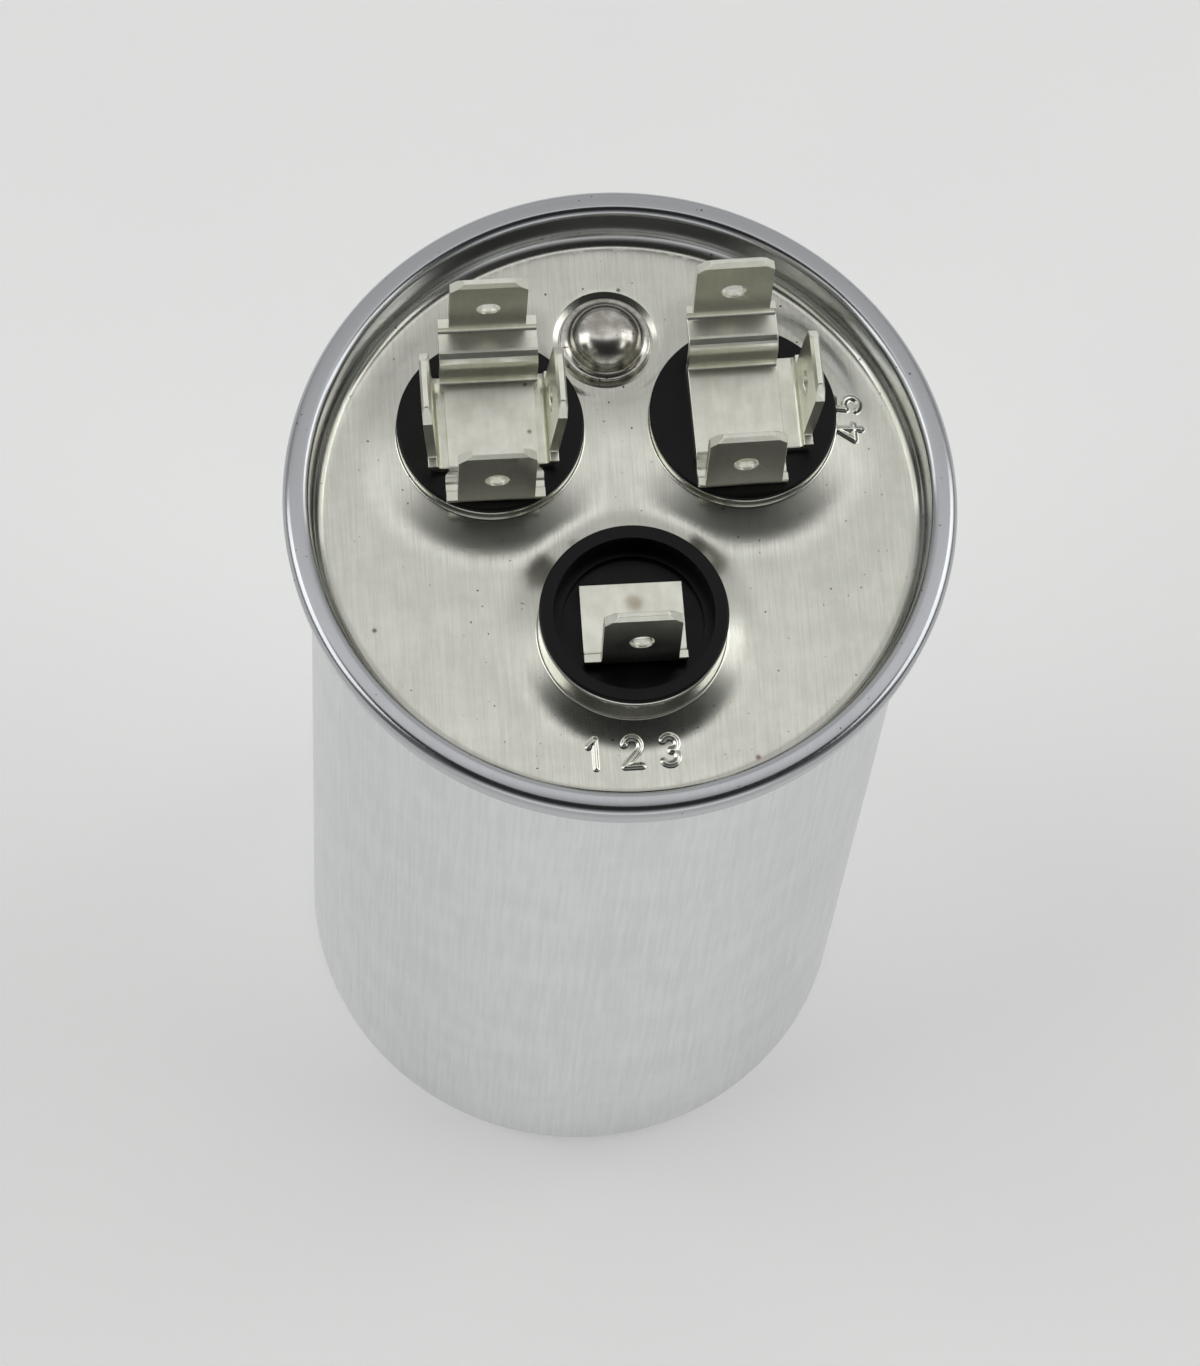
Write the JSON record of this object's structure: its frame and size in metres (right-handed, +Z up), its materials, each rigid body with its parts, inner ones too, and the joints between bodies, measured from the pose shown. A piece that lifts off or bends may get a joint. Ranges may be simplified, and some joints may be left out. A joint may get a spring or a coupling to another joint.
{
  "type": "motor run capacitor",
  "caption": "Round dual motor run capacitor: aluminium can with a double-seamed cover, insulated terminals with quick-connect tabs, and a fill plug.",
  "frame": {"origin": "centre of the can's base, on the surface it stands on", "axes": "+Z up along the can's axis, towards the terminals; +Y from the fan terminal towards the fill plug; the common terminal lies towards -X and the compressor terminal towards +X"},
  "size_m": [0.0554, 0.0554, 0.1133],
  "materials": {
    "can_aluminium": "drawn aluminium, dull, fine vertical draw marks",
    "cover_tinplate": "tinplate, fine rolling marks",
    "sealing_compound": "cured sealing compound",
    "plug_tin": "tinned steel, satin",
    "phenolic": "black moulded phenolic, low gloss",
    "rubber": "moulded rubber",
    "laminate": "phenolic laminate, matt",
    "rivet_steel": "tinned steel rivet",
    "terminal_tin": "tin-plated strip, stamped edges",
    "common_insulation": "lead insulation",
    "compressor_insulation": "lead insulation",
    "fan_insulation": "lead insulation",
    "moulded_nylon": "moulded plastic, natural",
    "core_plastic": "extruded plastic tube",
    "metallized_film": "wound metallized film",
    "film_wrap": "clear film wrap",
    "zinc_spray": "sprayed zinc, grainy"
  },
  "bodies": {
    "root": {"can": "can_aluminium", "cover": "cover_tinplate", "seam_compound": "sealing_compound", "fill_plug": "plug_tin", "common_insulator": "phenolic", "common_seal": "rubber", "common_washer": "laminate", "common_stud": "rivet_steel", "common_lower_strip": "terminal_tin", "common_upper_strip": "terminal_tin", "common_lead": "common_insulation", "compressor_insulator": "phenolic", "compressor_seal": "rubber", "compressor_washer": "laminate", "compressor_stud": "rivet_steel", "compressor_lower_strip": "terminal_tin", "compressor_upper_strip": "terminal_tin", "compressor_lead": "compressor_insulation", "fan_insulator": "phenolic", "fan_seal": "rubber", "fan_washer": "laminate", "fan_stud": "rivet_steel", "fan_terminal": "terminal_tin", "fan_lead": "fan_insulation", "interrupter_disc": "moulded_nylon", "core_tube": "core_plastic", "compressor_winding": "metallized_film", "section_wrap": "film_wrap", "fan_winding": "metallized_film", "outer_wrap": "film_wrap", "compressor_end_spray": "zinc_spray", "fan_end_spray": "zinc_spray", "common_end_spray": "zinc_spray", "bottom_cup": "moulded_nylon"}
  },
  "joints": []
}
